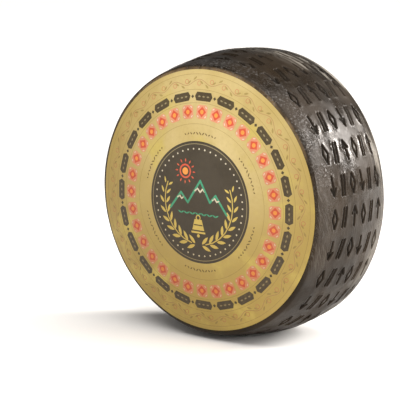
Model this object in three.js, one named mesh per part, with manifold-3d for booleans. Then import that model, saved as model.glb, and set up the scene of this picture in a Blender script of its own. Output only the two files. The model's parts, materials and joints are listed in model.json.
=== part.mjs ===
// A whole wheel of asiago cheese, standing on its rim, with a round paper label on its front face.
// Millimetres, +Z up. The wheel's axis lies along Y, and the labelled face looks along -Y.
import * as THREE from 'three';
import { mergeVertices } from 'three/addons/utils/BufferGeometryUtils.js';
import Module from 'manifold-3d';

// driving dimensions
const wheelRadius = 166;       // mean radius at the widest place of the rim
const edgeThickness = 133;     // between the two corners of the rim
const footDepth = 2;           // how deep the rim is pressed flat where the wheel stands

// the rim's barrel: its radius falls away on both sides of the widest place
const barrelDrop = 0.0465;     // share of the radius lost one half thickness away
const barrelPower = 1.5;
const widestAt = 0.17;         // in half thicknesses, behind the middle
const frontCorner = 3.2;       // size of the rounding of each corner
const backCorner = 8.5;

// both faces swell outwards
const frontRise = 17.6;
const backRise = 12;
const swellPower = 2.3;

// the wheel is a little out of round, and more so towards its back
const ovalCos = -0.0103;
const ovalSin = -0.0054;
const threeCos = -0.0089;
const threeSin = 0.0026;
const frontShare = 0.35;       // share of that unevenness at the front corner

// the paper label
const labelRadius = 152;
const labelThickness = 0.4;
const labelGap = 0.3;

// rows of sunk stamps, each running across the rim's width
const rowCount = 27;
const firstRowAngle = -175.77; // degrees round from +X towards +Z; an odd count meets itself at the left
const markCount = 6;
const markPitch = 16.7;
const rowShift = 3;            // the rows lie this far behind the middle of the rim
const markHeight = 25;         // measured round the rim
const markWidth = 10.4;
const strokeWidth = 2.4;
const markDepth = 1.9;
const footClearance = 3;       // a stamp this close to the floor is pressed out

// mesh steps
const sectors = rowCount * 2;
const sectorTurn = 0.6;        // degrees that the mesh is turned off the rows, clear of the stamps' corners
const faceRings = 6;
const cornerSteps = 3;

const halfThickness = edgeThickness / 2;
const rowStep = (2 * Math.PI) / rowCount;
const firstRow = THREE.MathUtils.degToRad(firstRowAngle);

// share of the full radius at an angle round the axis and a place u from -1 (front) to 1 (back)
function roundness(angle, u) {
  const wave = ovalCos * Math.cos(2 * angle) + ovalSin * Math.sin(2 * angle)
    + threeCos * Math.cos(3 * angle) + threeSin * Math.sin(3 * angle);
  return 1 + wave * THREE.MathUtils.lerp(frontShare, 1, (u + 1) / 2);
}

function rimRadius(angle, u) {
  const barrel = 1 - barrelDrop * Math.abs(u - widestAt) ** barrelPower;
  return wheelRadius * barrel * roundness(angle, u);
}

// distance of a face from the wheel's middle plane
function faceHeight(radius, rise) {
  return halfThickness + rise * (1 - (radius / labelRadius) ** swellPower);
}

// radii of the rings that both faces and the label share, closer together outwards
function ringRadii() {
  return Array.from({ length: faceRings }, (_, i) => labelRadius * ((i + 1) / faceRings) ** 0.75);
}

// rounding between a face and the rim, as points from the face outwards
function cornerPoints(angle, side, size, rise) {
  const uEnd = side * (1 - size / halfThickness);
  const outer = rimRadius(angle, side);
  const start = new THREE.Vector2(outer - size, side * faceHeight(outer - size, rise));
  const corner = new THREE.Vector2(outer, side * faceHeight(outer, rise));
  const end = new THREE.Vector2(rimRadius(angle, uEnd), uEnd * halfThickness);
  return new THREE.QuadraticBezierCurve(start, corner, end).getPoints(cornerSteps);
}

// places along the rim between the stamps, so that no stamp crosses a ring of the mesh
function rimStations() {
  const gaps = Array.from({ length: markCount + 1 }, (_, i) => (i - markCount / 2) * markPitch + rowShift);
  return gaps.map((y) => y / halfThickness);
}

// the wheel's outline at one angle, from the front centre round to the back centre
function wheelOutline(angle) {
  const rings = ringRadii();
  const front = rings.map((r) => new THREE.Vector2(r, -faceHeight(r, frontRise)));
  const frontCorners = cornerPoints(angle, -1, frontCorner, frontRise);
  const rim = rimStations().map((u) => new THREE.Vector2(rimRadius(angle, u), u * halfThickness));
  const backCorners = cornerPoints(angle, 1, backCorner, backRise).reverse();
  const back = rings.slice(0, -1).map((r) => new THREE.Vector2(r, faceHeight(r, backRise))).reverse();
  return [
    new THREE.Vector2(0, -faceHeight(0, frontRise)), ...front.slice(0, -1), ...frontCorners,
    ...rim, ...backCorners, ...back, new THREE.Vector2(0, faceHeight(0, backRise)),
  ];
}

function labelOutline() {
  const lift = (r, extra) => new THREE.Vector2(r, -faceHeight(r, frontRise) - labelGap - extra);
  const rings = ringRadii();
  const outside = [0, ...rings].map((r) => lift(r, labelThickness));
  const inside = [0, ...rings].map((r) => lift(r, 0)).reverse();
  return [...outside, ...inside];
}

// a closed shell from outlines that start and end on the axis, one for each angle
function turnedShell(outlineAt) {
  const outlines = Array.from({ length: sectors }, (_, i) => {
    const angle = firstRow + THREE.MathUtils.degToRad(sectorTurn) + (i * 2 * Math.PI) / sectors;
    return outlineAt(angle).map((p) => [p.x * Math.cos(angle), p.y, p.x * Math.sin(angle)]);
  });
  const last = outlines[0].length - 1;
  const ringSize = last - 1;
  const positions = outlines.flatMap((points) => points.slice(1, last)).flat();
  positions.push(...outlines[0][0], ...outlines[0][last]);
  const frontPole = sectors * ringSize;
  const backPole = frontPole + 1;
  const index = [];
  for (let i = 0; i < sectors; i++) {
    const here = i * ringSize;
    const next = ((i + 1) % sectors) * ringSize;
    index.push(frontPole, here, next);
    for (let j = 0; j < ringSize - 1; j++) {
      index.push(here + j, here + j + 1, next + j + 1);
      index.push(here + j, next + j + 1, next + j);
    }
    index.push(here + ringSize - 1, backPole, next + ringSize - 1);
  }
  const shell = new THREE.BufferGeometry();
  shell.setAttribute('position', new THREE.Float32BufferAttribute(positions, 3));
  shell.setIndex(index);
  return shell;
}

// outlines of the stamps: x runs along the row and y up the stamp
function polygon(...points) {
  return new THREE.Shape(points.map(([x, y]) => new THREE.Vector2(x, y)));
}

function lozengeMark() {
  const w = markWidth / 2;
  const h = markHeight / 2;
  const inner = 1 - (strokeWidth * Math.hypot(w, h)) / (w * h);
  const ring = polygon([w, 0], [0, h], [-w, 0], [0, -h]);
  ring.holes.push(polygon([w * inner, 0], [0, -h * inner], [-w * inner, 0], [0, h * inner]));
  return [ring];
}

function barsMark() {
  const h = markHeight / 2;
  const lean = markWidth * 0.16;
  return [-1, 1].map((side) => {
    const x = side * (markWidth / 2 - strokeWidth / 2 - lean);
    const s = strokeWidth / 2;
    return polygon([x - lean - s, -h], [x - lean + s, -h], [x + lean + s, h], [x + lean - s, h]);
  });
}

function dartMark() {
  const w = markWidth / 2;
  const h = markHeight / 2;
  const s = strokeWidth / 2;
  const barb = markHeight * 0.34;
  return [polygon([-s, -h], [s, -h], [s, h - barb * 0.8], [w, h - barb], [0, h], [-w, h - barb],
    [-s, h - barb * 0.8])];
}

const rowPattern = [lozengeMark, barsMark, dartMark, lozengeMark, barsMark, dartMark];

// one stamp's cutter, turned so that it sinks square into the rim
function markCutter(shape, angle, y, flip) {
  const cutter = new THREE.ExtrudeGeometry(shape, { depth: markDepth * 3, bevelEnabled: false });
  const slope = (rimRadius(angle, (y + 1) / halfThickness) - rimRadius(angle, (y - 1) / halfThickness)) / 2;
  const along = new THREE.Vector3(slope * Math.cos(angle), 1, slope * Math.sin(angle)).normalize();
  const around = new THREE.Vector3(-Math.sin(angle), 0, Math.cos(angle));
  const outward = new THREE.Vector3().crossVectors(along, around);
  const turn = new THREE.Matrix4().makeBasis(
    along.clone().multiplyScalar(flip), around.clone().multiplyScalar(flip), outward);
  const radius = rimRadius(angle, y / halfThickness);
  const foot = new THREE.Vector3(radius * Math.cos(angle), y, radius * Math.sin(angle));
  foot.addScaledVector(outward, -markDepth);
  return cutter.applyMatrix4(turn.setPosition(foot));
}

const wasm = await Module();
wasm.setup();

function toManifold(geometry) {
  const bare = geometry.clone();
  bare.deleteAttribute('normal');
  bare.deleteAttribute('uv');
  const merged = mergeVertices(bare, 1e-4);
  return new wasm.Manifold(new wasm.Mesh({
    numProp: 3,
    vertProperties: new Float32Array(merged.attributes.position.array),
    triVerts: new Uint32Array(merged.index.array),
  }));
}

function toGeometry(manifold) {
  const mesh = manifold.getMesh();
  const geometry = new THREE.BufferGeometry();
  geometry.setAttribute('position', new THREE.Float32BufferAttribute(mesh.vertProperties, 3));
  geometry.setIndex(new THREE.Uint32BufferAttribute(mesh.triVerts, 1));
  geometry.computeVertexNormals();
  return geometry;
}

const axleHeight = rimRadius(-Math.PI / 2, widestAt) - footDepth;

function stampCutters() {
  const cutters = [];
  for (let row = 0; row < rowCount; row++) {
    const angle = firstRow + row * rowStep;
    const flip = row % 2 ? 1 : -1;         // every other row is upside down
    rowPattern.forEach((mark, i) => {
      const y = flip * (i - (markCount - 1) / 2) * markPitch + rowShift;
      const lowest = axleHeight + rimRadius(angle, y / halfThickness) * Math.sin(angle);
      if (lowest > footClearance) cutters.push(...mark().map((shape) => markCutter(shape, angle, y, flip)));
    });
  }
  return cutters;
}

function wheelGeometry() {
  const floor = new THREE.BoxGeometry(2 * wheelRadius, 2 * edgeThickness, wheelRadius);
  floor.translate(0, 0, -axleHeight - wheelRadius / 2);
  let wheel = toManifold(turnedShell(wheelOutline));
  for (const cutter of stampCutters()) wheel = wheel.subtract(toManifold(cutter));
  return toGeometry(wheel.subtract(toManifold(floor)));
}

const rind = new THREE.MeshStandardMaterial({ color: 0x3b342b, roughness: 0.42, metalness: 0 });
const paper = new THREE.MeshStandardMaterial({ color: 0xcdb87f, roughness: 0.6, metalness: 0 });

const wheel = new THREE.Mesh(wheelGeometry(), rind);
wheel.name = 'wheel';

const labelGeometry = turnedShell(labelOutline);
labelGeometry.computeVertexNormals();
const label = new THREE.Mesh(labelGeometry, paper);
label.name = 'label';

const cheese = new THREE.Group();
cheese.add(wheel, label);

// the origin is under the middle of the whole, on the surface that it stands on
const middle = new THREE.Box3().setFromObject(cheese, true).getCenter(new THREE.Vector3());
cheese.position.set(-middle.x, -middle.y, axleHeight);

export default cheese;
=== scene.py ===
# A whole wheel of asiago cheese that stands on its rim: dark waxed rind, stamped rows, gold paper label.
# Metres, +Z up. The wheel's axis lies along Y and the labelled face looks towards -Y.
import json
import math
import random

import bmesh
import bpy
import numpy as np
from mathutils import Matrix, Vector, noise

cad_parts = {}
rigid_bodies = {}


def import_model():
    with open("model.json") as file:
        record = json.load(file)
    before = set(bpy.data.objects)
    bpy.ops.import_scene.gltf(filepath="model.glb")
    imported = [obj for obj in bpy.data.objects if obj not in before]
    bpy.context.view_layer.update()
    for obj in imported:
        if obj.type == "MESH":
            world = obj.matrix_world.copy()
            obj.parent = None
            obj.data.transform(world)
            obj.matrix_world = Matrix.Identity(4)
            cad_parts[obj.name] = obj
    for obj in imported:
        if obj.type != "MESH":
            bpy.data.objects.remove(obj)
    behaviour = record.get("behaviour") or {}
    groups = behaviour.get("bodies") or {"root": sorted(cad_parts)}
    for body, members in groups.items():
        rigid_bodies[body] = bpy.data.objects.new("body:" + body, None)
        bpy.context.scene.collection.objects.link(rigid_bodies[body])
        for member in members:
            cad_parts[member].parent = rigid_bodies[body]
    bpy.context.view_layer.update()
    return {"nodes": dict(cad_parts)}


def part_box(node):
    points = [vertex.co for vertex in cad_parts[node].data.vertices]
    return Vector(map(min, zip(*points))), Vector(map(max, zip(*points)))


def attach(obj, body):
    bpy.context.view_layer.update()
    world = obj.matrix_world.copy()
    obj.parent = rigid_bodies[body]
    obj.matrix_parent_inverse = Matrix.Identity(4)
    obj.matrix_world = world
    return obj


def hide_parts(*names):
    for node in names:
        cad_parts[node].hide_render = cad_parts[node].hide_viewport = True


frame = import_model()
print("frame loaded:", sorted(frame["nodes"]))

mm = 0.001
turn = 2 * math.pi
mergeWithin = 0.002 * mm           # points closer than this become one
farAway = 1.0                      # further than anything on the wheel
sharpAngle = math.radians(40)      # sharper edges keep their crease when shaded smooth

wheelShape = {
    "radius": 166 * mm,            # mean radius at the widest place of the rim
    "thickness": 133 * mm,         # between the two corners
    "barrelDrop": 0.0465,
    "barrelPower": 1.5,
    "widestAt": 0.17,              # in half thicknesses, behind the middle
    "frontCorner": 3.2 * mm,
    "backCorner": 8.5 * mm,
    "frontRise": 17.6 * mm,        # how far each face swells outwards
    "backRise": 12 * mm,
    "swellPower": 2.3,
    "oval": (-0.0103, -0.0054),    # out of roundness, as cosine and sine parts
    "three": (-0.0089, 0.0026),
    "frontShare": 0.35,            # share of it at the front corner
    "labelRadius": 152 * mm,
    "labelLift": 0.7 * mm,         # how far the label's outside stands off the face in the frame
}
half = wheelShape["thickness"] / 2
labelRadius = wheelShape["labelRadius"]

# the wheel is modelled round its own axle, at the origin, and moved to its place at the end
labelLow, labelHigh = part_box("label")
axle = Vector((
    (labelLow.x + labelHigh.x) / 2,
    labelLow.y + half + wheelShape["frontRise"] + wheelShape["labelLift"],
    (labelLow.z + labelHigh.z) / 2,
))


# choosing a piece and working on it
def clearSelection():
    if bpy.context.object and bpy.context.object.mode == "EDIT":
        bpy.ops.object.mode_set(mode="OBJECT")
    bpy.ops.object.select_all(action="DESELECT")


def pick(piece):
    clearSelection()
    piece.select_set(True)
    bpy.context.view_layer.objects.active = piece


def editing(piece):
    pick(piece)
    bpy.ops.object.mode_set(mode="EDIT")
    bpy.ops.mesh.select_all(action="SELECT")


# a piece with nothing in it yet, open for drawing
def newPiece(name):
    clearSelection()
    bpy.ops.mesh.primitive_plane_add(size=mm, location=(0, 0, 0))
    piece = bpy.context.object
    piece.name = name
    editing(piece)
    bpy.ops.mesh.delete(type="VERT")
    return piece


def applyModifiers(piece):
    pick(piece)
    for name in [m.name for m in piece.modifiers]:
        bpy.ops.object.modifier_apply(modifier=name)


def coordsOf(piece):
    flat = np.empty(len(piece.data.vertices) * 3)
    piece.data.vertices.foreach_get("co", flat)
    return flat.reshape(-1, 3)


def setCoords(piece, coords):
    piece.data.vertices.foreach_set("co", np.ascontiguousarray(coords).ravel())
    piece.data.update()


def radiusAndAngle(coords):
    return np.hypot(coords[:, 0], coords[:, 2]), np.arctan2(coords[:, 2], coords[:, 0])


def smoothstep(low, high, value):
    t = np.clip((value - low) / (high - low), 0, 1)
    return t * t * (3 - 2 * t)


# edges pulled from point to point, out of one vertex
def pullAlong(points):
    bpy.ops.mesh.select_all(action="DESELECT")
    bpy.ops.mesh.primitive_plane_add(size=mm, location=points[0])
    bpy.ops.mesh.merge(type="CENTER")
    for start, end in zip(points, points[1:]):
        move = [b - a for a, b in zip(start, end)]
        bpy.ops.mesh.extrude_vertices_move(TRANSFORM_OT_translate={"value": move})


# an outline of (radius, y) points, spun round the wheel's axis
def spinOutline(outline, steps):
    pullAlong([(radius, y, 0) for radius, y in outline])
    bpy.ops.mesh.select_all(action="SELECT")
    bpy.ops.mesh.spin(steps=steps, angle=turn, center=(0, 0, 0), axis=(0, 1, 0), dupli=False)
    bpy.ops.mesh.select_all(action="SELECT")
    bpy.ops.mesh.remove_doubles(threshold=mergeWithin)
    bpy.ops.mesh.normals_make_consistent(inside=False)
    bpy.ops.object.mode_set(mode="OBJECT")


# the wheel's form, as in the frame: u runs from -1 at the front corner to 1 at the back
def roundness(angle, u):
    cos2, sin2 = wheelShape["oval"]
    cos3, sin3 = wheelShape["three"]
    wave = cos2 * np.cos(2 * angle) + sin2 * np.sin(2 * angle)
    wave = wave + cos3 * np.cos(3 * angle) + sin3 * np.sin(3 * angle)
    share = wheelShape["frontShare"]
    return 1 + wave * (share + (1 - share) * (u + 1) / 2)


def barrelRadius(u):
    drop = wheelShape["barrelDrop"] * np.abs(u - wheelShape["widestAt"]) ** wheelShape["barrelPower"]
    return wheelShape["radius"] * (1 - drop)


def faceHeight(radius, rise):
    return half + rise * (1 - (radius / labelRadius) ** wheelShape["swellPower"])


# the rounding between a face and the rim, from the face outwards
def cornerArc(side, size, rise, steps):
    outer = float(barrelRadius(side))
    uEnd = side * (1 - size / half)
    a = Vector((outer - size, side * faceHeight(outer - size, rise)))
    b = Vector((outer, side * faceHeight(outer, rise)))
    c = Vector((float(barrelRadius(uEnd)), uEnd * half))
    arc = []
    for i in range(steps + 1):
        t = i / steps
        arc.append(tuple(a * (1 - t) ** 2 + b * 2 * t * (1 - t) + c * t * t))
    return arc


rindBody = {
    "sectors": 324,                # steps round the wheel, twelve to a stamped row
    "rimSteps": 40,
    "frontCornerSteps": 4,
    "backCornerSteps": 7,
    "frontRings": 8,               # under the label
    "backRings": 22,
    "lumps": ((55 * mm, 0.55 * mm), (22 * mm, 0.24 * mm), (9 * mm, 0.10 * mm)),   # size and height
    "faceLumps": ((60 * mm, 0.5 * mm), (25 * mm, 0.12 * mm)),
    "backFaceShare": 1.6,          # how much lumpier the back face is
    "rimSeed": 1.7, "frontSeed": 4.3, "backSeed": 9.1,
    "creaseAt": -61.5 * mm,        # a shallow crease behind the front corner
    "creaseWidth": 2.2 * mm,
    "creaseDepth": 0.45 * mm,
    "creaseWaves": 5,              # how often its depth changes on the way round
    "creaseStart": 1,
    "creaseChange": 0.4,           # share of its depth that changes
    # in label radii from the axle
    "rimFrom": 0.95,
    "stampsFrom": 0.97,
    "roundInside": (0.86, 0.995),  # the faces turn from round to the rim's uneven roundness
    "cornerBand": (0.97, 1.02),    # the faces' lumps give way to the rim's
    "slopeSamples": 401,
}


def rindOutline():
    s = wheelShape
    frontArc = cornerArc(-1, s["frontCorner"], s["frontRise"], rindBody["frontCornerSteps"])
    backArc = cornerArc(1, s["backCorner"], s["backRise"], rindBody["backCornerSteps"])
    front = [frontArc[0][0] * i / rindBody["frontRings"] for i in range(rindBody["frontRings"])]
    back = [backArc[0][0] * i / rindBody["backRings"] for i in range(rindBody["backRings"])]
    yStart, yEnd = frontArc[-1][1], backArc[-1][1]
    steps = rindBody["rimSteps"]
    rim = [yStart + (yEnd - yStart) * i / steps for i in range(1, steps)]
    outline = [(r, -faceHeight(r, s["frontRise"])) for r in front] + frontArc
    outline += [(float(barrelRadius(y / half)), y) for y in rim]
    outline += backArc[::-1] + [(r, faceHeight(r, s["backRise"])) for r in reversed(back)]
    return outline


seedDirection = (1, 0.37, -0.71)   # a seed moves the noise this way


# soft unevenness, one height for each point
def lumpHeights(coords, lumps, seed):
    heights = np.zeros(len(coords))
    shift = Vector([seed * share for share in seedDirection])
    for size, height in lumps:
        heights += height * np.array([noise.noise(Vector(p) / size + shift) for p in coords])
    return heights


flatten = (1, 0, 1)                # leaves out how far forward a point lies


# how far the front face's unevenness pushes outwards: the rind and the label share it
def frontSwell(coords):
    return lumpHeights(coords * flatten, rindBody["faceLumps"], rindBody["frontSeed"])


stampRows = {
    "rows": 27,
    "firstAngle": math.radians(-175.77),   # from +X towards +Z
    "marks": 6,
    "pitch": 16.7 * mm,
    "shift": 3 * mm,               # the rows lie this far behind the middle of the rim
    "height": 25 * mm,             # measured round the rim
    "width": 10.4 * mm,
    "barLean": 0.16,               # share of the width
    "barb": 0.34,                  # share of the height
    "stroke": 2.8 * mm,
    "depth": 2.4 * mm,
    "lip": 0.34 * mm,              # the wax pushed up beside a stroke
    # in stroke widths from a stroke's centre line: the floor and wall of a stroke, and its lip
    "floorTo": 0.22, "wallTo": 0.54,
    "lipFrom": 0.5, "lipTop": 0.68, "lipFalls": 0.78, "lipTo": 1.35,
    "footClearance": 3 * mm,       # a stamp this close to the floor is pressed out
    "wander": 0.5 * mm,            # how far a stamp may sit off its place
    "lean": 0.05,                  # and how far it may turn
    "shallowest": 0.72,            # share of the full depth
    "coarseReach": 3.6 * mm,       # mesh this near a stroke is divided once,
    "fineReach": 2.4 * mm,         # and this near it twice
    "seed": 11,
}


# centre lines of the strokes of each stamp: x along the row and y up the stamp
def markStrokes():
    s = stampRows
    w = (s["width"] - s["stroke"]) / 2
    h = (s["height"] - s["stroke"]) / 2
    lean = s["width"] * s["barLean"]
    x = w - lean
    lozenge = [((w, 0), (0, h)), ((0, h), (-w, 0)), ((-w, 0), (0, -h)), ((0, -h), (w, 0))]
    bars = [((side * x - lean, -h), (side * x + lean, h)) for side in (-1, 1)]
    barb = s["height"] * s["barb"]
    dart = [((0, -h), (0, h)), ((0, h), (w, h - barb)), ((0, h), (-w, h - barb))]
    return [lozenge, bars, dart] * 2


def strokeDistance(x, y, strokes):
    best = np.full(len(x), farAway)
    for (ax, ay), (bx, by) in strokes:
        dx, dy = bx - ax, by - ay
        t = np.clip(((x - ax) * dx + (y - ay) * dy) / (dx * dx + dy * dy), 0, 1)
        best = np.minimum(best, np.hypot(x - ax - t * dx, y - ay - t * dy))
    return best


# distance of each point of the rim from the nearest stroke, and its stamp's share of the full depth
def stampDistance(coords):
    s = stampRows

    # the row that a point is nearest to, and how far round from that row it lies
    radius, angle = radiusAndAngle(coords)
    step = turn / s["rows"]
    row = np.round((angle - s["firstAngle"]) / step).astype(int)
    rowAngle = s["firstAngle"] + row * step
    around = (angle - rowAngle) * radius
    row = row % s["rows"]
    flip = np.where(row % 2 == 1, 1.0, -1.0)       # every other row is upside down

    # the stamp in that row, and how high its middle lies over the floor
    along = (coords[:, 1] - s["shift"]) * flip
    middle = (s["marks"] - 1) / 2
    mark = np.clip(np.round(along / s["pitch"] + middle), 0, s["marks"] - 1).astype(int)
    u = (s["shift"] + flip * (mark - middle) * s["pitch"]) / half
    lowest = axle.z + barrelRadius(u) * roundness(rowAngle, u) * np.sin(rowAngle)

    # each stamp sits a little off its place, turned, and pressed in to its own depth
    draw = random.Random(s["seed"])
    own = np.array([[(draw.uniform(-1, 1) * s["wander"], draw.uniform(-1, 1) * s["wander"],
                      draw.uniform(-1, 1) * s["lean"], draw.uniform(s["shallowest"], 1.0))
                     for _ in range(s["marks"])] for _ in range(s["rows"])])
    own = own[row, mark]
    x = along - (mark - middle) * s["pitch"] + own[:, 0]
    y = flip * around + own[:, 1]
    x, y = x + own[:, 2] * y, y - own[:, 2] * x
    distance = np.full(len(coords), farAway)
    for i, strokes in enumerate(markStrokes()):
        here = (mark == i) & (lowest > s["footClearance"])
        distance[here] = strokeDistance(x[here], y[here], strokes)
    return distance, own[:, 3]


# how deep the stamps push each point in: below zero is the lip beside a stroke
def stampDepths(coords):
    s = stampRows
    distance, share = stampDistance(coords)
    width = s["stroke"]
    sunk = 1 - smoothstep(width * s["floorTo"], width * s["wallTo"], distance)
    lip = smoothstep(width * s["lipFrom"], width * s["lipTop"], distance)
    lip = lip * (1 - smoothstep(width * s["lipFalls"], width * s["lipTo"], distance))
    return s["depth"] * sunk * share - s["lip"] * lip


# finer mesh beside the strokes of the stamps
def refineStamps(rind, reach):
    centres = np.array([p.center for p in rind.data.polygons])
    distance, _ = stampDistance(centres)
    onRim = np.abs(centres[:, 1]) < half - wheelShape["frontCorner"]
    onRim &= np.hypot(centres[:, 0], centres[:, 2]) > labelRadius * rindBody["stampsFrom"]
    pick(rind)
    bpy.ops.object.mode_set(mode="EDIT")
    bpy.ops.mesh.select_mode(type="FACE")
    bpy.ops.mesh.select_all(action="DESELECT")
    bpy.ops.object.mode_set(mode="OBJECT")
    rind.data.polygons.foreach_set("select", onRim & (distance < reach))
    bpy.ops.object.mode_set(mode="EDIT")
    bpy.ops.mesh.subdivide(number_cuts=1)
    bpy.ops.mesh.select_mode(type="VERT")
    bpy.ops.object.mode_set(mode="OBJECT")


def wheelPoints(radius, y, angle):
    return np.stack([radius * np.cos(angle), y, radius * np.sin(angle)], axis=1)


# takes the spun form out of round, stamps it and presses its foot flat
def shapeRind(rind):
    s, p = wheelShape, rindBody
    coords = coordsOf(rind)
    radius, angle = radiusAndAngle(coords)
    y = coords[:, 1]
    u = np.clip(y / half, -1, 1)
    side = np.sign(y)

    # out of round: wholly on the rim, and fading inwards over the faces
    onRim = (np.abs(y) < half - s["frontCorner"]) & (radius > labelRadius * p["rimFrom"])
    radius = np.where(onRim & (y < half - s["backCorner"]), barrelRadius(u), radius)
    roundTo, unevenFrom = p["roundInside"]
    uneven = np.where(onRim, 1.0, smoothstep(labelRadius * roundTo, labelRadius * unevenFrom, radius))
    newRadius = radius * (1 + (roundness(angle, u) - 1) * uneven)
    rise = np.where(side < 0, s["frontRise"], s["backRise"])
    corner = smoothstep(half - s["backCorner"], half, np.abs(y))
    newY = y + side * corner * (faceHeight(newRadius, rise) - faceHeight(radius, rise))

    # the rim's slope, and how far each point belongs to the rim
    places = np.linspace(-1, 1, p["slopeSamples"])
    slope = np.interp(u, places, np.gradient(barrelRadius(places), places * half))
    lean = np.where(onRim, slope, 0) / np.sqrt(1 + slope ** 2)
    faceTo, rimFrom = p["cornerBand"]
    rimShare = 1 - corner * (1 - smoothstep(labelRadius * faceTo, labelRadius * rimFrom, newRadius))

    # lumps, crease and stamps push the rim in or out, and the faces have lumps of their own
    coords = wheelPoints(newRadius, newY, angle)
    push = lumpHeights(coords, p["lumps"], p["rimSeed"])
    crease = 1 - smoothstep(0, p["creaseWidth"], np.abs(newY - p["creaseAt"]))
    change = p["creaseChange"]
    wave = 1 - change + change * np.sin(angle * p["creaseWaves"] + p["creaseStart"])
    push -= crease * p["creaseDepth"] * wave
    depths = stampDepths(coords)
    newRadius = newRadius + (push - depths) * rimShare * np.sqrt(1 - lean ** 2)
    newY = newY + depths * lean
    backSwell = lumpHeights(coords, p["faceLumps"], p["backSeed"]) * p["backFaceShare"]
    newY = newY + side * np.where(side < 0, frontSwell(coords), backSwell) * (1 - rimShare)
    coords = wheelPoints(newRadius, newY, angle)
    coords[:, 2] = np.maximum(coords[:, 2], -axle.z)
    setCoords(rind, coords)
    shade = rind.data.attributes.new("stampShade", "FLOAT", "POINT")
    shade.data.foreach_set("value", np.clip(depths / stampRows["depth"], 0, 1) * rimShare)


def makeRind():
    rind = newPiece("rindBody")
    spinOutline(rindOutline(), rindBody["sectors"])
    refineStamps(rind, stampRows["coarseReach"])
    refineStamps(rind, stampRows["fineReach"])
    shapeRind(rind)
    pick(rind)
    bpy.ops.object.shade_smooth()
    rind.data.calc_loop_triangles()
    print("rind:", len(rind.data.loop_triangles), "triangles")
    return rind


paperSheet = {
    "rings": 28,
    "crowding": 0.9,               # below 1 the rings lie closer together towards the edge
    "sectors": 168,
    "lift": 0.08 * mm,             # its back above the rind
    "thickness": 0.26 * mm,
    "edgeRipple": 0.35 * mm,
    "rippleSize": 30 * mm,
    "rippleFrom": 0.88,            # share of the radius where the ripple starts
    "rippleMiddle": 0.5,           # share of its height at rest: it runs from 0 to twice this
    "rippleSeed": 0.0,
}


def makePaper():
    s = paperSheet
    radii = [labelRadius * (i / s["rings"]) ** s["crowding"] for i in range(s["rings"] + 1)]
    rise = wheelShape["frontRise"]
    outside = [(r, -faceHeight(r, rise) - s["lift"] - s["thickness"]) for r in radii]
    inside = [(r, -faceHeight(r, rise) - s["lift"]) for r in reversed(radii)]
    paper = newPiece("paperSheet")
    spinOutline(outside + inside, s["sectors"])
    coords = coordsOf(paper)
    radius, _ = radiusAndAngle(coords)
    swing = ((s["rippleSize"], s["rippleMiddle"]),)
    ripple = lumpHeights(coords * flatten, swing, s["rippleSeed"]) + s["rippleMiddle"]
    ripple = ripple * s["edgeRipple"] * smoothstep(labelRadius * s["rippleFrom"], labelRadius, radius)
    coords[:, 1] -= frontSwell(coords) + ripple
    setCoords(paper, coords)
    pick(paper)
    bpy.ops.object.shade_smooth_by_angle(angle=sharpAngle)
    print("paper:", len(paper.data.polygons), "faces")
    return paper


# print is drawn flat in front of the face, x to the right and z up, and then laid on the paper
drawPlane = -half - 60 * mm


def spot(x, z):
    return (x, drawPlane, z)


def polar(radius, angle):
    return (radius * math.cos(angle), radius * math.sin(angle))


# a filled outline
def addShape(points):
    pullAlong([spot(x, z) for x, z in points])
    bpy.ops.mesh.select_linked()
    bpy.ops.mesh.edge_face_add()


# outline points given round a middle, turned by an angle from x towards z
def placed(points, x, z, angle=0.0):
    c, s = math.cos(angle), math.sin(angle)
    return [(x + px * c - pz * s, z + px * s + pz * c) for px, pz in points]


def addBar(x, z, length, width, angle=0.0):
    l, w = length / 2, width / 2
    addShape(placed(((-l, -w), (l, -w), (l, w), (-l, w)), x, z, angle))


# a bar with pointed ends; point is the length of each end
def addPointedBar(x, z, length, width, point, angle=0.0):
    l, w = length / 2, width / 2
    if point < l:
        outline = ((-l, 0), (point - l, -w), (l - point, -w), (l, 0), (l - point, w), (point - l, w))
    else:
        outline = ((-l, 0), (0, -w), (l, 0), (0, w))
    addShape(placed(outline, x, z, angle))


strokeOverlap = 0.6                # in stroke widths, so that a bent line stays closed


def addStroke(start, end, width):
    dx, dz = end[0] - start[0], end[1] - start[1]
    length = math.hypot(dx, dz) + width * strokeOverlap
    addBar((start[0] + end[0]) / 2, (start[1] + end[1]) / 2, length, width, math.atan2(dz, dx))


def addLeaf(x, z, length, width, angle=0.0):
    upper = [(-0.5, 0), (-0.3, 0.36), (0, 0.5), (0.27, 0.33), (0.5, 0)]
    lower = [(px, -pz) for px, pz in upper[-2:0:-1]]
    addShape(placed([(px * length, pz * width) for px, pz in upper + lower], x, z, angle))


def addCircle(x, z, radius, corners, fill):
    bpy.ops.mesh.select_all(action="DESELECT")
    bpy.ops.mesh.primitive_circle_add(vertices=corners, radius=radius, fill_type=fill,
                                      location=spot(x, z), rotation=(math.pi / 2, 0, 0))


def addDisc(x, z, size, corners=14):
    addCircle(x, z, size / 2, corners, "NGON")


def addRing(x, z, radius, width, corners=168):
    addCircle(x, z, radius, corners, "NOTHING")
    bpy.ops.mesh.extrude_edges_move()
    grow = 1 + width / radius
    bpy.ops.transform.resize(value=(grow, 1, grow), center_override=spot(x, z))


# turns what is drawn on the x axis to its first place, and copies it round the wheel's axis
def repeatRound(count, first=0.0):
    bpy.ops.mesh.select_all(action="SELECT")
    bpy.ops.transform.rotate(value=first, orient_axis="Y", center_override=(0, 0, 0))
    bpy.ops.mesh.spin(steps=count - 1, angle=-turn * (count - 1) / count, dupli=True,
                      center=(0, 0, 0), axis=(0, 1, 0))


inkBody = {
    "firstLevel": 0.05 * mm,       # the lowest print's height above the paper
    "levelStep": 0.035 * mm,
    "sunk": 0.02 * mm,             # how far its underside lies in the paper
    "longestEdge": 4.5 * mm,       # longer ones are divided, so that the print follows the swelling
    "mostRounds": 6,               # of dividing
}


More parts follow.
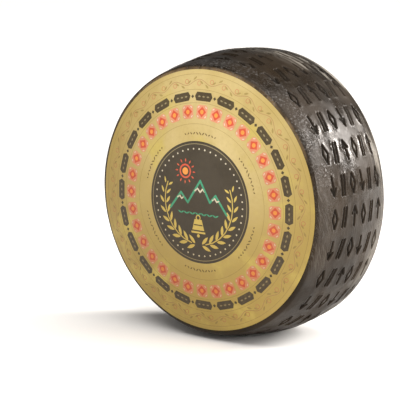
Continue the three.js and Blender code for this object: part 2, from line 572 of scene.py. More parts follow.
def layOn(ink, paper, level):
    editing(ink)
    bpy.ops.mesh.quads_convert_to_tris()
    for _ in range(inkBody["mostRounds"]):
        drawing = bmesh.from_edit_mesh(ink.data)
        for edge in drawing.edges:
            edge.select_set(edge.calc_length() > inkBody["longestEdge"])
        bmesh.update_edit_mesh(ink.data)
        if not any(edge.select for edge in drawing.edges):
            break
        bpy.ops.mesh.subdivide(number_cuts=1)
    bpy.ops.mesh.select_all(action="SELECT")
    bpy.ops.mesh.quads_convert_to_tris()
    bpy.ops.object.mode_set(mode="OBJECT")
    height = inkBody["firstLevel"] + inkBody["levelStep"] * level
    wrap = ink.modifiers.new("wrap", "SHRINKWRAP")
    wrap.target = paper
    wrap.wrap_method = "PROJECT"
    wrap.wrap_mode = "ABOVE_SURFACE"
    wrap.use_project_y = True
    wrap.use_positive_direction = True
    wrap.use_negative_direction = False
    wrap.offset = height
    applyModifiers(ink)
    editing(ink)
    drawing = bmesh.from_edit_mesh(ink.data)
    for face in drawing.faces:
        face.select_set(face.normal.y > 0)
    bmesh.update_edit_mesh(ink.data)
    bpy.ops.mesh.flip_normals()
    bpy.ops.object.mode_set(mode="OBJECT")
    body = ink.modifiers.new("body", "SOLIDIFY")
    body.thickness = height + inkBody["sunk"]
    body.offset = -1
    applyModifiers(ink)
    bpy.ops.object.shade_smooth_by_angle(angle=sharpAngle)


darkRing = {
    "count": 24, "radius": 121.6 * mm, "length": 25.2 * mm, "width": 9.9 * mm, "point": 2.6 * mm,
    "studSize": 4.2 * mm,
    "gems": 3, "gemPitch": 6.2 * mm, "gemLength": 4.2 * mm, "gemWidth": 2.2 * mm,
}


def darkBars():
    p = darkRing
    addPointedBar(p["radius"], 0, p["length"], p["width"], p["point"], math.pi / 2)
    repeatRound(p["count"])


def darkStuds():
    p = darkRing
    size = p["studSize"]
    addPointedBar(p["radius"], 0, size, size, size / 2, math.pi / 2)
    repeatRound(p["count"], turn / p["count"] / 2)


def barGems():
    p = darkRing
    for i in range(p["gems"]):
        slide = (i - (p["gems"] - 1) / 2) * p["gemPitch"]
        addPointedBar(p["radius"], slide, p["gemLength"], p["gemWidth"], p["gemLength"] / 2, math.pi / 2)
    repeatRound(p["count"])


redRing = {
    "count": 32, "radius": 104.4 * mm, "size": 15.6 * mm, "cut": 2.6 * mm,
    "lozenge": 12.4 * mm, "heart": 5.0 * mm, "heartCorners": 12,
    "barLength": 2.9 * mm, "barWidth": 1.1 * mm, "barAt": 5.4 * mm,
}


def roseTiles():
    p = redRing
    a, b = p["size"] / 2, p["size"] / 2 - p["cut"]
    outline = ((-a, -b), (-b, -a), (b, -a), (a, -b), (a, b), (b, a), (-b, a), (-a, b))
    addShape(placed(outline, p["radius"], 0))
    repeatRound(p["count"])


def redLozenges():
    p = redRing
    addPointedBar(p["radius"], 0, p["lozenge"], p["lozenge"], p["lozenge"] / 2)
    repeatRound(p["count"])


def orangeHearts():
    p = redRing
    addDisc(p["radius"], 0, p["heart"], corners=p["heartCorners"])
    repeatRound(p["count"])


def tileBars():
    p = redRing
    for side in (-1, 1):
        for end in (-1, 1):
            x = p["radius"] + side * p["barAt"]
            addBar(x, end * p["barAt"], p["barLength"], p["barWidth"], -side * end * math.pi / 4)
    repeatRound(p["count"])


hairlines = {"radii": (90.5 * mm, 114.2 * mm, 129.2 * mm, 146.5 * mm), "width": 0.45 * mm}


def thinRings():
    for radius in hairlines["radii"]:
        addRing(0, 0, radius, hairlines["width"])


vine = {
    "count": 24, "radius": 137.6 * mm, "swing": 3.2 * mm, "steps": 12, "stem": 0.75 * mm,
    "leafLength": 6.4 * mm, "leafWidth": 2.2 * mm, "leafReach": 2.9 * mm, "leafLean": 0.62,
    "leaves": ((0.16, -1), (0.42, 1), (0.66, 1), (0.92, -1)),      # place along a wave, and side
    "berryRadius": 2.1 * mm, "berryWidth": 0.7 * mm, "berryReach": 4.4 * mm, "berryCorners": 14,
    "berries": ((0.25, -1), (0.75, 1)),
}


def vinePoint(t):
    p = vine
    return polar(p["radius"] + p["swing"] * math.sin(turn * t), turn * t / p["count"])


def vineStem():
    p = vine
    for i in range(p["steps"]):
        addStroke(vinePoint(i / p["steps"]), vinePoint((i + 1) / p["steps"]), p["stem"])
    repeatRound(p["count"])


# a place beside the stem, and its angle round the wheel
def besideVine(t, reach):
    x, z = vinePoint(t)
    angle = turn * t / vine["count"]
    return x + reach * math.cos(angle), z + reach * math.sin(angle), angle


def vineLeaves():
    p = vine
    for t, side in p["leaves"]:
        x, z, angle = besideVine(t, side * p["leafReach"])
        addLeaf(x, z, p["leafLength"], p["leafWidth"], angle + side * p["leafLean"] + math.pi / 2)
    repeatRound(p["count"])


def vineBerries():
    p = vine
    for t, side in p["berries"]:
        x, z, _ = besideVine(t, side * p["berryReach"])
        addRing(x, z, p["berryRadius"], p["berryWidth"], corners=p["berryCorners"])
    repeatRound(p["count"])


flourishes = {
    "count": 6, "first": math.radians(30), "radius": 80 * mm, "leaves": 11, "spread": math.radians(31),
    "length": 4.6 * mm, "width": 1.5 * mm, "lean": 0.8,
    "middle": 1.1, "taper": 0.9,   # the leaves' size in the middle, and what is lost on the whole way
}


def leafSprays():
    p = flourishes
    for i in range(p["leaves"]):
        t = i / (p["leaves"] - 1) - 0.5
        a = p["spread"] * t
        lean = p["lean"] * (1 if i % 2 else -1) * (1 if t > 0 else -1)
        shrink = p["middle"] - p["taper"] * abs(t)
        addLeaf(*polar(p["radius"], a), p["length"] * shrink, p["width"], a + math.pi / 2 + lean)
    repeatRound(p["count"], p["first"])


emblem = {
    "discRadius": 71.2 * mm, "discRings": 14, "discSectors": 120,
    "borderRadius": 67.6 * mm, "borderWidth": 0.8 * mm,
    "dots": 48, "dotRadius": 62.3 * mm, "dotSize": 2.1 * mm, "dotCorners": 8,
}


def centreDisc():
    p = emblem
    rings = [(p["discRadius"] * i / p["discRings"], drawPlane) for i in range(p["discRings"] + 1)]
    spinOutline(rings, p["discSectors"])


def discBorder():
    addRing(0, 0, emblem["borderRadius"], emblem["borderWidth"])


def discDots():
    p = emblem
    addDisc(p["dotRadius"], 0, p["dotSize"], corners=p["dotCorners"])
    repeatRound(p["dots"])


# two leafy sprigs that curve up from below on the left and the right
sprigs = {
    "radius": 49 * mm, "from": math.radians(-78), "to": math.radians(24), "leaves": 9,
    "length": 13 * mm, "width": 4.2 * mm, "lean": 0.62, "reach": 4.6 * mm, "stem": 1.3 * mm, "taper": 0.4,
}


def goldSprigs():
    p = sprigs
    angles = [p["from"] + (p["to"] - p["from"]) * i / (p["leaves"] - 1) for i in range(p["leaves"])]
    for i, a in enumerate(angles):
        grow = 1.0 - p["taper"] * (i / (p["leaves"] - 1)) ** 2
        for side in (-1, 1):
            x, z = polar(p["radius"] + side * p["reach"], a)
            heading = a + math.pi / 2 - side * p["lean"]
            addLeaf(x, z, p["length"] * grow, p["width"] * grow, heading)
            addLeaf(-x, z, p["length"] * grow, p["width"] * grow, math.pi - heading)
    for a, b in zip(angles, angles[1:]):
        (x, z), (nextX, nextZ) = polar(p["radius"], a), polar(p["radius"], b)
        addStroke((x, z), (nextX, nextZ), p["stem"])
        addStroke((-x, z), (-nextX, nextZ), p["stem"])


peaks = {
    "line": ((-41, -10), (-25, 10), (-15, -1), (3, 26), (17, 2), (25, 11), (41, -10)),
    "width": 2.5 * mm,
    "caps": (((-4.5, 13.6), (-1, 17), (3, 12.6), (6.2, 16.4), (9.6, 13.6)),
             ((-30, 3.6), (-26.5, 5.6), (-24, 2.6), (-20.5, 5)),
             ((20.6, 5.2), (24, 7.6), (26.6, 4), (29.8, 5.2))),
    "capWidth": 1.7 * mm,
}


def drawLine(line, width):
    spots = [(x * mm, z * mm) for x, z in line]
    for start, end in zip(spots, spots[1:]):
        addStroke(start, end, width)


def greenPeaks():
    drawLine(peaks["line"], peaks["width"])


def snowCaps():
    for line in peaks["caps"]:
        drawLine(line, peaks["capWidth"])


sun = {
    "at": (-19 * mm, 35 * mm), "core": 8.4 * mm, "coreCorners": 24,
    "ringRadius": 6.4 * mm, "ringWidth": 2.0 * mm, "ringCorners": 36,
    "rays": 12, "rayFrom": 10.2 * mm, "rayLength": 4.6 * mm, "rayWidth": 1.7 * mm,
}


def sunCore():
    addDisc(*sun["at"], sun["core"], corners=sun["coreCorners"])


def sunRays():
    p = sun
    addRing(*p["at"], p["ringRadius"], p["ringWidth"], corners=p["ringCorners"])
    for i in range(p["rays"]):
        a = turn * i / p["rays"]
        x, z = polar(p["rayFrom"] + p["rayLength"] / 2, a)
        addPointedBar(p["at"][0] + x, p["at"][1] + z, p["rayLength"], p["rayWidth"], p["rayWidth"], a)


meadow = {
    "z": -13 * mm, "reach": 25 * mm, "count": 7,
    "length": 5.6 * mm, "width": 1.9 * mm, "lean": 0.5, "slide": 2.2 * mm,
}


def meadowLeaves():
    p = meadow
    for i in range(p["count"]):
        x = (i / (p["count"] - 1) - 0.5) * 2 * p["reach"]
        for lean in (p["lean"], math.pi - p["lean"]):
            addLeaf(x + p["slide"] * math.cos(lean), p["z"], p["length"], p["width"], lean)


# a cow bell: shoulders, body, mouth and clapper
bell = {
    "at": (0, -27 * mm),
    "body": ((-5.2, 7.6), (-8.6, -5), (8.6, -5), (5.2, 7.6)),
    "mouth": ((-10, -6.6), (-10, -8.8), (10, -8.8), (10, -6.6)),
    "loopAt": 9.6 * mm, "loopRadius": 2.2 * mm, "loopWidth": 1.3 * mm, "loopCorners": 20,
    "clapperAt": -11.6 * mm, "clapper": 4.0 * mm,
    "bandAt": 1.0 * mm, "bandLength": 12.4 * mm, "bandWidth": 1.3 * mm,
}


def goldBell():
    p = bell
    for outline in (p["body"], p["mouth"]):
        addShape(placed([(x * mm, z * mm) for x, z in outline], *p["at"]))
    x, z = p["at"]
    addRing(x, z + p["loopAt"], p["loopRadius"], p["loopWidth"], corners=p["loopCorners"])
    addDisc(x, z + p["clapperAt"], p["clapper"])


def bellBand():
    p = bell
    addBar(p["at"][0], p["at"][1] + p["bandAt"], p["bandLength"], p["bandWidth"])


# node helpers
def node(tree, kind, **values):
    made = tree.nodes.new(kind)
    for name, value in values.items():
        if name in made.inputs:
            made.inputs[name].default_value = value
        else:
            setattr(made, name, value)
    return made


def mathNode(tree, operation, a, b=None, clamp=False):
    made = tree.nodes.new("ShaderNodeMath")
    made.operation = operation
    made.use_clamp = clamp
    for socket, value in zip(made.inputs, (a, b)):
        if isinstance(value, (int, float)):
            socket.default_value = value
        elif value is not None:
            tree.links.new(value, socket)
    return made.outputs[0]


def product(tree, a, *others):
    for other in others:
        a = mathNode(tree, "MULTIPLY", a, other)
    return a


def rangeNode(tree, value, fromLow, fromHigh, toLow=0.0, toHigh=1.0):
    made = tree.nodes.new("ShaderNodeMapRange")
    made.interpolation_type = "SMOOTHSTEP"
    numbers = {"From Min": fromLow, "From Max": fromHigh, "To Min": toLow, "To Max": toHigh}
    for name, number in numbers.items():
        made.inputs[name].default_value = number
    tree.links.new(value, made.inputs["Value"])
    return made.outputs["Result"]


def mixColour(tree, mask, first, second):
    made = tree.nodes.new("ShaderNodeMix")
    made.data_type = "RGBA"
    for name, value in (("Factor", mask), ("A", first), ("B", second)):
        socket = next(s for s in made.inputs if s.name == name and s.enabled)
        if isinstance(value, tuple):
            socket.default_value = (*value, 1)
        elif isinstance(value, (int, float)):
            socket.default_value = value
        else:
            tree.links.new(value, socket)
    return next(s for s in made.outputs if s.enabled)


# a group that works on a vector and some numbers
def newGroup(name, numbers, outputs):
    group = bpy.data.node_groups.new(name, "ShaderNodeTree")
    group.interface.new_socket("Vector", in_out="INPUT", socket_type="NodeSocketVector")
    for label in numbers:
        group.interface.new_socket(label, in_out="INPUT", socket_type="NodeSocketFloat")
    for label, kind in outputs:
        group.interface.new_socket(label, in_out="OUTPUT", socket_type=kind)
    start = group.nodes.new("NodeGroupInput")
    end = group.nodes.new("NodeGroupOutput")
    return group, start.outputs, end.inputs


def useGroup(tree, group, vector, **numbers):
    made = tree.nodes.new("ShaderNodeGroup")
    made.node_tree = group
    tree.links.new(vector, made.inputs["Vector"])
    for name, number in numbers.items():
        made.inputs[name].default_value = number
    return made.outputs


# soft cloudy patches, as a mask from 0 to 1
def mottleGroup():
    group, given, out = newGroup("mottle", ("Scale", "Detail", "Low", "High"),
                                 [("Mask", "NodeSocketFloat")])
    link = group.links.new
    cloud = node(group, "ShaderNodeTexNoise", Roughness=0.55)
    spread = node(group, "ShaderNodeMapRange", interpolation_type="SMOOTHSTEP")
    for name in ("Vector", "Scale", "Detail"):
        link(given[name], cloud.inputs[name])
    link(cloud.outputs["Fac"], spread.inputs["Value"])
    link(given["Low"], spread.inputs["From Min"])
    link(given["High"], spread.inputs["From Max"])
    link(spread.outputs["Result"], out["Mask"])
    return group


mottle = mottleGroup()


def mottled(tree, vector, scale, detail, low, high):
    return useGroup(tree, mottle, vector, Scale=scale, Detail=detail, Low=low, High=high)["Mask"]


# bumps one on another: each layer is a height socket, its depth in metres and its strength
def stackedBumps(tree, layers):
    normal = None
    for height, distance, strength in layers:
        bump = node(tree, "ShaderNodeBump", Distance=distance, Strength=strength)
        tree.links.new(height, bump.inputs["Height"])
        if normal:
            tree.links.new(normal, bump.inputs["Normal"])
        normal = bump.outputs["Normal"]
    return normal


# slightly crumpled paper, and its painted shade; patterns are scale, detail and the range of the noise that
# is used
paperWearAndShade = {
    "crumple": (42, 3, 0.2, 0.8), "crumpleDepth": (0.9 * mm, 0.3),
    "fibre": (650, 4, 0.2, 0.8), "fibreDepth": (0.09 * mm, 0.45),
    "wear": (210, 5, 0.42, 0.85),
    "brightestAt": (10 * mm, -75 * mm, 92 * mm),       # from the axle: painted shade, the paper is darker away from here
    "near": 20 * mm, "far": 205 * mm,
}


# its relief, wear and painted shade, which the print on it shares
def paperGroup():
    p = paperWearAndShade
    group, given, out = newGroup("paperRelief", (),
                                 [("Normal", "NodeSocketVector"), ("Wear", "NodeSocketFloat"),
                                  ("Age", "NodeSocketFloat")])
    vector = given["Vector"]
    crumple = mottled(group, vector, *p["crumple"])
    fibre = mottled(group, vector, *p["fibre"])
    relief = stackedBumps(group, [(crumple, *p["crumpleDepth"]), (fibre, *p["fibreDepth"])])
    group.links.new(relief, out["Normal"])
    group.links.new(mottled(group, vector, *p["wear"]), out["Wear"])
    away = node(group, "ShaderNodeVectorMath", operation="DISTANCE")
    away.inputs[1].default_value = p["brightestAt"]
    group.links.new(vector, away.inputs[0])
    group.links.new(rangeNode(group, away.outputs["Value"], p["near"], p["far"]), out["Age"])
    return group


paperRelief = paperGroup()


# a material with its shader, and Object coordinates measured from the wheel's axle
def newMaterial(name):
    material = bpy.data.materials.new(name)
    material.use_nodes = True
    tree = material.node_tree
    place = tree.nodes.new("ShaderNodeTexCoord")
    fromAxle = node(tree, "ShaderNodeMapping", Location=tuple(-axle))
    tree.links.new(place.outputs["Object"], fromAxle.inputs["Vector"])
    return material, tree, tree.nodes["Principled BSDF"], fromAxle.outputs["Vector"]


rindFinish = {
    # the edge colour is painted light on the upper part of the front corner
    "dark": (0.0060, 0.0040, 0.0022), "brown": (0.018, 0.0110, 0.0052), "edge": (0.150, 0.098, 0.050),
    # below: the stamps' hollow colour is painted shade, the pale speck colour is painted glints and the
    # streak colour is painted sheen
    "shadedHollow": (0.0050, 0.0034, 0.0020), "speckGlint": (0.135, 0.126, 0.118), "sheenStreak": (0.27, 0.24, 0.20),
    "scratch": (0.13, 0.115, 0.095),
    "fineShare": 0.3, "scratchShare": 0.45,        # how strongly these two colour the wax
    "sheen": (0.22, 0.38), "specular": 0.20, "tint": (1.0, 0.86, 0.74),
    "gritDull": 0.07, "hollowDull": 0.45,          # how much rougher grit and the stamps' floors are
}

# patterns on the rind: scale, detail and the range of the noise that is used
rindPatterns = {
    "clouds": (16, 4, 0.32, 0.68), "fine": (130, 5, 0.3, 0.75), "paintedCornerLight": (40, 3, 0.3, 0.6),
    "rough": (28, 2, 0.28, 0.56), "specks": (400, 4, 0.48, 0.78), "sheenStreaked": (11, 3, 0.34, 0.56),
    "patches": (34, 3, 0.36, 0.66), "grit": (520, 2, 0.4, 0.7), "ripples": (40, 3, 0.2, 0.8),
    "brushed": (9, 2, 0.4, 0.6), "grain": (900, 3, 0.2, 0.8),
}

# where on the rind a finish starts and where it is full, in metres along y or up z from the axle;
# the last two numbers of four are its shares there
rindZones = {
    "paintedCornerLightY": (-half + 1.8 * mm, -half + 0.2 * mm), "paintedCornerLightZ": (20 * mm, 110 * mm),
    "frontY": (-30 * mm, -46 * mm), "upperZ": (-60 * mm, 20 * mm),
    "specksZ": (20 * mm, 120 * mm, 0.3, 0.9),
    "backY": (45 * mm, 75 * mm), "backWidens": 0.28,       # further forward for each metre above or below
    "rimY": (half - 1 * mm, half - 8 * mm), "sheenStreaksZ": (-60 * mm, 60 * mm, 0.35, 1),
    "scratchTopZ": (45 * mm, 15 * mm), "scratchFootZ": (-80 * mm, -45 * mm),
    "brushedY": (-40 * mm, 10 * mm, 0.25, 1),
    "dullZ": (-10 * mm, -80 * mm, 0, 0.22),                # how much rougher the wax is towards the foot
    "shadedHollow": (0.12, 0.6),                                 # share of a stamp's depth
}

# noise drawn out into lines: how much each direction counts, then scale, detail and roughness
rindLines = {
    "sheenStreaks": ((0.03, 1, 0.03), 210, 3, 0.6), "sheenStreakRange": (0.44, 0.58),
    "brush": ((0.03, 1, 0.03), 330, 3, 0.6),
    "scratches": ((1, 0.10, 1), 720, 2, 0.5), "scratchRange": (0.54, 0.64),
    "scratchTwist": -18.0,         # radians round the axle for each metre back
}

# depth and strength of each relief
rindRelief = {
    "ripples": (0.7 * mm, 0.4), "brushed": (0.9 * mm, 0.5), "pits": (0.4 * mm, 0.6),
    "scratches": (0.25 * mm, 0.6), "grain": (0.05 * mm, 0.5),
    "pitScale": 620, "pitSize": 0.42, "pitsWhereRough": 0.8, "pitsElsewhere": 0.04,
}


def lineNoise(tree, place, shares, scale, detail, roughness):
    squeeze = node(tree, "ShaderNodeVectorMath", operation="MULTIPLY")
    squeeze.inputs[1].default_value = shares
    tree.links.new(place, squeeze.inputs[0])
    lines = node(tree, "ShaderNodeTexNoise", Scale=scale, Detail=detail, Roughness=roughness)
    tree.links.new(squeeze.outputs["Vector"], lines.inputs["Vector"])
    return lines.outputs["Fac"]


# the place turned round the axle, more the further back it lies, so that lines slant
def slanted(tree, place, y, twist):
    spun = node(tree, "ShaderNodeVectorRotate", rotation_type="Y_AXIS")
    tree.links.new(place, spun.inputs["Vector"])
    tree.links.new(product(tree, y, twist), spun.inputs["Angle"])
    return spun.outputs["Vector"]


# small round pits: 0 on the surface and down to -1 in a pit
def pits(tree, place, scale, size):
    cells = node(tree, "ShaderNodeTexVoronoi", feature="F1", Scale=scale, Randomness=1.0)
    tree.links.new(place, cells.inputs["Vector"])
    inside = mathNode(tree, "DIVIDE", cells.outputs["Distance"], size, clamp=True)
    return mathNode(tree, "SUBTRACT", inside, 1.0)


# where each finish shows, as masks from 0 to 1
def rindMasks(tree, place):
    p, zones, lines = rindPatterns, rindZones, rindLines
    parts = node(tree, "ShaderNodeSeparateXYZ")
    tree.links.new(place, parts.inputs["Vector"])
    y, z = parts.outputs["Y"], parts.outputs["Z"]
    depth = node(tree, "ShaderNodeAttribute", attribute_name="stampShade").outputs["Fac"]
    # the stamps' floors, where painted shade darkens the wax and the wax is duller
    masks = {"shadedHollow": rangeNode(tree, depth, *zones["shadedHollow"]),
             "rim": rangeNode(tree, y, *zones["rimY"]),
             "foot": rangeNode(tree, z, *zones["dullZ"])}

    # painted light: the front corner is browner and lighter, mostly above, where light falls on it
    masks["paintedCornerLight"] = product(tree, rangeNode(tree, y, *zones["paintedCornerLightY"]),
                              rangeNode(tree, z, *zones["paintedCornerLightZ"]), mottled(tree, place, *p["paintedCornerLight"]))

    # pale specks painted as glints on rough wax at the front, more of them higher up
    front = rangeNode(tree, y, *zones["frontY"])
    masks["rough"] = product(tree, mottled(tree, place, *p["rough"]), front,
                             rangeNode(tree, z, *zones["upperZ"]))
    masks["specks"] = product(tree, mottled(tree, place, *p["specks"]), masks["rough"],
                              rangeNode(tree, z, *zones["specksZ"]))

    # painted sheen: pale streaks round the back, standing in for grazing reflections, which start further
    # forward above and below
    away = product(tree, mathNode(tree, "ABSOLUTE", z), zones["backWidens"])
    back = rangeNode(tree, mathNode(tree, "ADD", y, away), *zones["backY"])
    sheenStreaks = rangeNode(tree, lineNoise(tree, place, *lines["sheenStreaks"]), *lines["sheenStreakRange"])
    masks["sheenStreaks"] = product(tree, sheenStreaks, back, mottled(tree, place, *p["sheenStreaked"]), masks["rim"],
                               rangeNode(tree, z, *zones["sheenStreaksZ"]))

    # thin slanting scratches at the lower front, and brush lines round the rim
    slant = lineNoise(tree, slanted(tree, place, y, lines["scratchTwist"]), *lines["scratches"])
    masks["scratches"] = product(tree, rangeNode(tree, slant, *lines["scratchRange"]), front,
                                 rangeNode(tree, z, *zones["scratchTopZ"]),
                                 rangeNode(tree, z, *zones["scratchFootZ"]))
    masks["brushed"] = product(tree, lineNoise(tree, place, *lines["brush"]),
                               mottled(tree, place, *p["brushed"]), masks["rim"],
                               rangeNode(tree, y, *zones["brushedY"]))
    return masks


# near black wax, browner in clouds, with layers one over another: painted light on the front corner, pale
# specks painted as glints, pale streaks painted as sheen, real scratches and painted shade in the stamps'
# hollows
def rindColour(tree, place, masks):
    p, f = rindPatterns, rindFinish
    colour = mixColour(tree, mottled(tree, place, *p["clouds"]), f["dark"], f["brown"])
    layers = ((product(tree, mottled(tree, place, *p["fine"]), f["fineShare"]), "brown"),
              (masks["paintedCornerLight"], "edge"), (masks["specks"], "speckGlint"), (masks["sheenStreaks"], "sheenStreak"),
              (product(tree, masks["scratches"], f["scratchShare"]), "scratch"),
              (masks["shadedHollow"], "shadedHollow"))
    for mask, name in layers:
        colour = mixColour(tree, mask, colour, f[name])
    return colour


# shiny in patches, duller towards the foot and dull on the stamps' floors
def rindRoughness(tree, place, masks):
    p, f = rindPatterns, rindFinish
    rough = rangeNode(tree, mottled(tree, place, *p["patches"]), 0, 1, *f["sheen"])
    grit = product(tree, mottled(tree, place, *p["grit"]), f["gritDull"])
    foot = product(tree, masks["foot"], masks["rim"])
    for more in (grit, foot, product(tree, masks["shadedHollow"], f["hollowDull"])):
        rough = mathNode(tree, "ADD", rough, more, clamp=True)
    return rough


def rindNormal(tree, place, masks):
    p, r = rindPatterns, rindRelief
    pitShare = mathNode(tree, "ADD", product(tree, masks["rough"], r["pitsWhereRough"]), r["pitsElsewhere"])
    pitted = product(tree, pits(tree, place, r["pitScale"], r["pitSize"]), pitShare)
    return stackedBumps(tree, [
        (mottled(tree, place, *p["ripples"]), *r["ripples"]), (masks["brushed"], *r["brushed"]),
        (pitted, *r["pits"]), (product(tree, masks["scratches"], -1), *r["scratches"]),
        (mottled(tree, place, *p["grain"]), *r["grain"])])


def rindMaterial():
    material, tree, shader, place = newMaterial("waxedRind")
    masks = rindMasks(tree, place)
    for make, name in ((rindColour, "Base Color"), (rindRoughness, "Roughness"), (rindNormal, "Normal")):
        tree.links.new(make(tree, place, masks), shader.inputs[name])
    shader.inputs["Specular IOR Level"].default_value = rindFinish["specular"]
    shader.inputs["Specular Tint"].default_value = (*rindFinish["tint"], 1)
    return material


paperFinish = {
    # the shaded tone is painted shade, where the paper lies away from the brightest light
    "gold": (0.470, 0.350, 0.128), "pale": (0.55, 0.428, 0.192), "shadedTone": (0.285, 0.190, 0.030),
    "yellow": (0.48, 0.370, 0.068), "stain": (0.33, 0.225, 0.060),
    "yellowShare": 0.65, "speckShare": 0.22, "stainShare": 0.28,
    "roughness": (0.37, 0.52),
    "clouds": (15, 4, 0.3, 0.7), "specks": (240, 5, 0.35, 0.8),
    "stains": (38, 6, 0.56, 0.75), "yellowed": (24, 5, 0.50, 0.72),
}


def paperMaterial():
    p = paperFinish
    material, tree, shader, place = newMaterial("goldPaper")
    sheet = useGroup(tree, paperRelief, place)
    specks = mottled(tree, place, *p["specks"])
    colour = mixColour(tree, mottled(tree, place, *p["clouds"]), p["gold"], p["pale"])
    # first the painted shade, darker away from the brightest place, then yellowing and stains
    layers = ((sheet["Age"], "shadedTone"),
              (product(tree, mottled(tree, place, *p["yellowed"]), p["yellowShare"]), "yellow"),
              (product(tree, specks, p["speckShare"]), "stain"),
              (product(tree, mottled(tree, place, *p["stains"]), p["stainShare"]), "stain"))
    for mask, name in layers:
        colour = mixColour(tree, mask, colour, p[name])
    tree.links.new(colour, shader.inputs["Base Color"])
    tree.links.new(rangeNode(tree, specks, 0, 1, *p["roughness"]), shader.inputs["Roughness"])
    tree.links.new(sheet["Normal"], shader.inputs["Normal"])
    return material


inkFinish = {
    "clouds": (30, 3, 0.35, 0.65), "cloudShare": 0.6,
    "lighter": 1.25, "lift": 0.006,                # the lighter clouds' colour
    "shadedTone": (0.68, 0.60, 0.45),                     # share of its colour that ink keeps in the paper's painted shade
    "roughness": (0.40, 0.54), "specular": 0.35,
}


# printed ink: a little uneven and worn, on the paper's relief, and darker in the paper's painted shade
def inkMaterial(name, colour, wearShare):
    p = inkFinish
    material, tree, shader, place = newMaterial(name)
    sheet = useGroup(tree, paperRelief, place)
    lighter = tuple(min(1.0, c * p["lighter"] + p["lift"]) for c in colour)
    shadedTone = tuple(c * share for c, share in zip(colour, p["shadedTone"]))
    clouds = product(tree, mottled(tree, place, *p["clouds"]), p["cloudShare"])
    shade = mixColour(tree, clouds, colour, lighter)
    # painted shade from the paper, darker away from the brightest place
    shade = mixColour(tree, sheet["Age"], shade, shadedTone)
    shade = mixColour(tree, product(tree, sheet["Wear"], wearShare), shade, paperFinish["gold"])
    tree.links.new(shade, shader.inputs["Base Color"])
    tree.links.new(rangeNode(tree, sheet["Wear"], 0, 1, *p["roughness"]), shader.inputs["Roughness"])
    tree.links.new(sheet["Normal"], shader.inputs["Normal"])
    shader.inputs["Specular IOR Level"].default_value = p["specular"]
    return material


# linear colour, and how far the ink is worn down to the paper
inkColours = {
    "black": ((0.046, 0.035, 0.021), 0.02), "umber": ((0.060, 0.043, 0.021), 0.08),
    "rose": ((0.57, 0.225, 0.130), 0.40), "red": ((0.52, 0.075, 0.036), 0.20),
    "orange": ((0.70, 0.26, 0.050), 0.12), "cream": ((0.56, 0.50, 0.37), 0.08),
    "dim": ((0.26, 0.21, 0.11), 0.08), "gold": ((0.52, 0.39, 0.095), 0.04),
    "green": ((0.045, 0.27, 0.15), 0.06), "olive": ((0.30, 0.22, 0.07), 0.25),
    "faint": ((0.36, 0.22, 0.095), 0.25), "sepia": ((0.13, 0.085, 0.025), 0.15),
    "russet": ((0.45, 0.19, 0.09), 0.25),
}
# each drawing, which gives its piece its name, with its ink and its level above the paper
drawings = (
    (thinRings, "olive", 0), (vineStem, "faint", 0), (vineLeaves, "olive", 1), (vineBerries, "russet", 1),
    (darkBars, "umber", 1), (darkStuds, "umber", 1), (barGems, "dim", 2),
    (roseTiles, "rose", 1), (redLozenges, "red", 2), (orangeHearts, "orange", 3), (tileBars, "cream", 2),
    (leafSprays, "sepia", 1),
    (centreDisc, "black", 1), (discBorder, "dim", 2), (discDots, "cream", 2), (goldSprigs, "gold", 2),
    (greenPeaks, "green", 3), (snowCaps, "cream", 3), (sunCore, "orange", 2), (sunRays, "red", 2),
    (meadowLeaves, "green", 2), (goldBell, "gold", 3), (bellBand, "black", 4),
)

rind = makeRind()
paper = makePaper()
inks = {name: inkMaterial(name + "Ink", *values) for name, values in inkColours.items()}
prints = []
for draw, colour, level in drawings:
    ink = newPiece(draw.__name__)
    draw()
    layOn(ink, paper, level)
    ink.data.materials.append(inks[colour])
    prints.append(ink)
print("print laid on:", len(prints), "drawings")

rind.data.materials.append(rindMaterial())
paper.data.materials.append(paperMaterial())

for piece in [rind, paper, *prints]:
    pick(piece)
    bpy.ops.transform.translate(value=axle)
    bpy.ops.object.transform_apply(location=True, rotation=True, scale=True)
    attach(piece, "root")
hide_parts("wheel")
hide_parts("label")
print("pieces in place")

# floor, light and camera
studio = {
    "floorSize": 16, "floor": (0.92, 0.88, 0.835), "floorRoughness": 0.6,
    "sky": (1.0, 0.99, 0.97), "skyStrength": 0.19,
    # suns: towards the light, width in degrees and strength
    "suns": {
        "overheadLight": ((0.26, 0, 0.96), 60, 2.5),
        "backLight": ((0.35, 0.54, 0.76), 36, 0.5),
        "frontLight": ((0.54, -0.72, 0.43), 50, 1.05),
    },
    # soft boxes: place, size and power, aimed at the wheel
    "boxes": {
        "rimSoftBox": ((1.20, 1.62, 1.03), (0.15, 0.90), 78),
        "labelSoftBox": ((0.02, -0.62, 0.82), (0.50, 0.30), 3.2),
        "sideSoftBox": ((1.38, 0.48, 0.42), (0.50, 0.40), 9),
    },
}
clearSelection()
bpy.ops.mesh.primitive_plane_add(size=studio["floorSize"], location=(0, 0, 0))
floor = bpy.context.object
floor.name = "paleFloor"
floorMaterial = bpy.data.materials.new("paleFloor")
floorMaterial.use_nodes = True
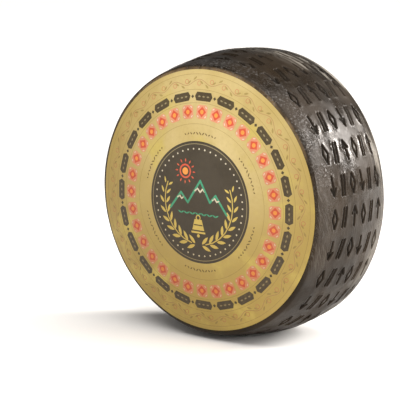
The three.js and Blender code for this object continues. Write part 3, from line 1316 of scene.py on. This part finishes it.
floorShader = floorMaterial.node_tree.nodes["Principled BSDF"]
floorShader.inputs["Base Color"].default_value = (*studio["floor"], 1)
floorShader.inputs["Roughness"].default_value = studio["floorRoughness"]
floor.data.materials.append(floorMaterial)

world = bpy.data.worlds.new("studioSky")
world.use_nodes = True
sky = world.node_tree.nodes["Background"]
sky.inputs["Color"].default_value = (*studio["sky"], 1)
sky.inputs["Strength"].default_value = studio["skyStrength"]
bpy.context.scene.world = world
bpy.context.scene.view_settings.view_transform = "Standard"


# a light that shines from its place, away from the direction given
def addLight(kind, name, at, direction):
    clearSelection()
    facing = direction.to_track_quat("Z", "Y").to_euler()
    bpy.ops.object.light_add(type=kind, location=at, rotation=facing)
    light = bpy.context.object
    light.name = name
    return light


for name, (towards, width, strength) in studio["suns"].items():
    light = addLight("SUN", name, (0, 0, 0), Vector(towards))
    light.data.energy = strength
    light.data.angle = math.radians(width)

for name, (at, size, power) in studio["boxes"].items():
    light = addLight("AREA", name, at, Vector(at) - axle)
    light.visible_camera = False
    light.data.shape = "RECTANGLE"
    light.data.size, light.data.size_y = size
    light.data.energy = power

view = {
    "azimuth": math.radians(38.0), "elevation": math.radians(11.185),
    "distance": 20, "side": -0.2994, "rise": -0.0576,      # in wheel radii
    "focal": 2844.13, "pictureWidth": 400,                 # in pixels
    "sensor": 36,
    "seesTo": 60,
}
back = Vector((math.sin(view["azimuth"]) * math.cos(view["elevation"]),
               -math.cos(view["azimuth"]) * math.cos(view["elevation"]),
               math.sin(view["elevation"])))
right = Vector((0, 0, 1)).cross(back).normalized()
up = back.cross(right)
offset = back * view["distance"] + right * view["side"] + up * view["rise"]
clearSelection()
bpy.ops.object.camera_add(location=axle + offset * wheelShape["radius"])
camera = bpy.context.object
camera.matrix_world = Matrix.Translation(camera.location) @ Matrix((right, up, back)).transposed().to_4x4()
camera.data.sensor_width = view["sensor"]
camera.data.lens = view["focal"] / view["pictureWidth"] * view["sensor"]
camera.data.clip_end = view["seesTo"]
bpy.context.scene.camera = camera

print("camera and light set")
